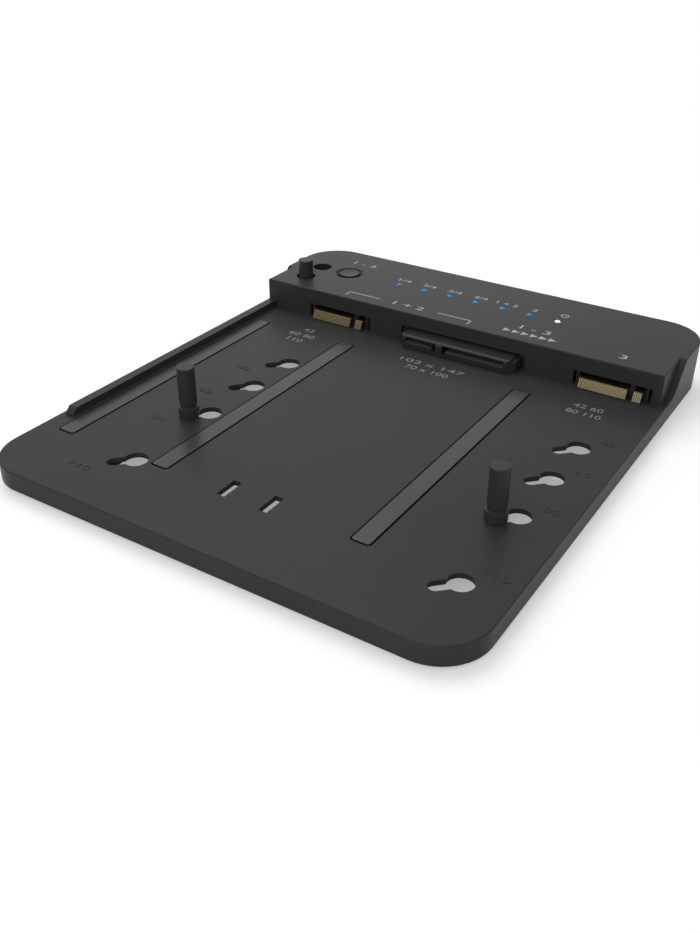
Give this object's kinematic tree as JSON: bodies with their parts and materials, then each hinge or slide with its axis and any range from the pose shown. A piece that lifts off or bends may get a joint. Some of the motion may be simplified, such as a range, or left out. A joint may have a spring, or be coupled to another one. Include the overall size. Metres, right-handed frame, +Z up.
{
  "type": "drive duplicator",
  "caption": "Flat bench dock for copying one storage drive onto another: open plate with keyholes and card pins, raised rear header with card and drive sockets, lights and a start button.",
  "frame": {"origin": "on the table under the middle of the dock: centre of the bounding box, at the bottom of the feet", "axes": "+Z up, +Y from the front edge to the rear ports, +X to the right along the header"},
  "size_m": [0.142, 0.164, 0.0217],
  "materials": {
    "shell_plastic": "fine satin",
    "cover_plastic": "fine texture",
    "screw_steel": "black zinc",
    "foot_rubber": "matte",
    "strip_rubber": "matte",
    "pin_plastic": "satin",
    "board_laminate": "solder mask",
    "socket_plastic": "moulded",
    "contact_gold": "gold plated",
    "blue_light": "lit clear pipe",
    "white_light": "lit clear pipe",
    "led_resin": "clear resin",
    "button_plastic": "satin",
    "switch_plastic": "moulded",
    "port_metal": "nickel plated",
    "chip_resin": "laser etched",
    "capacitor_can": "drawn",
    "coil_ferrite": "pressed ferrite"
  },
  "bodies": {
    "housing": {"top_shell": "shell_plastic", "bottom_cover": "cover_plastic", "cover_screws": "screw_steel", "rubber_feet": "foot_rubber", "main_board": "board_laminate", "board_screws": "screw_steel", "left_card_socket": "socket_plastic", "left_card_contacts": "contact_gold", "right_card_socket": "socket_plastic", "right_card_contacts": "contact_gold", "drive_socket": "socket_plastic", "drive_contacts": "contact_gold", "left_rubber_strip": "strip_rubber", "middle_rubber_strip": "strip_rubber", "right_rubber_strip": "strip_rubber", "blue_light_pipes": "blue_light", "white_light_pipe": "white_light", "board_leds": "led_resin", "start_switch_body": "switch_plastic", "power_switch_body": "switch_plastic", "dc_jack_body": "switch_plastic", "dc_jack_pin": "port_metal", "usb_shell": "port_metal", "usb_tongue": "socket_plastic", "board_chips": "chip_resin", "board_capacitors": "capacitor_can", "board_coils": "coil_ferrite", "board_crystals": "port_metal"},
    "left_pin": {"left_card_pin": "pin_plastic"},
    "right_pin": {"right_card_pin": "pin_plastic"},
    "spare_pin": {"spare_card_pin": "pin_plastic"},
    "start_key": {"start_button": "button_plastic", "start_switch_plunger": "switch_plastic"},
    "power_key": {"power_button": "button_plastic", "power_switch_plunger": "switch_plastic"}
  },
  "joints": [
    {"name": "left_pin_slide", "type": "slide", "parent": "housing", "child": "left_pin", "axis": [0.7071, 0.7071, 0], "range_m": [0, 0.0058]},
    {"name": "right_pin_slide", "type": "slide", "parent": "housing", "child": "right_pin", "axis": [0.7071, 0.7071, 0], "range_m": [0, 0.0058]},
    {"name": "spare_pin_lift", "type": "slide", "parent": "housing", "child": "spare_pin", "axis": [0, 0, 1], "range_m": [0, 0.02]},
    {"name": "start_button_press", "type": "slide", "parent": "housing", "child": "start_key", "axis": [0, 0, -1], "range_m": [0, 0.0008], "stiffness_N_per_m": 600, "springref_m": -0.001},
    {"name": "power_button_press", "type": "slide", "parent": "housing", "child": "power_key", "axis": [0, -1, 0], "range_m": [0, 0.0016], "stiffness_N_per_m": 500, "springref_m": -0.001}
  ]
}
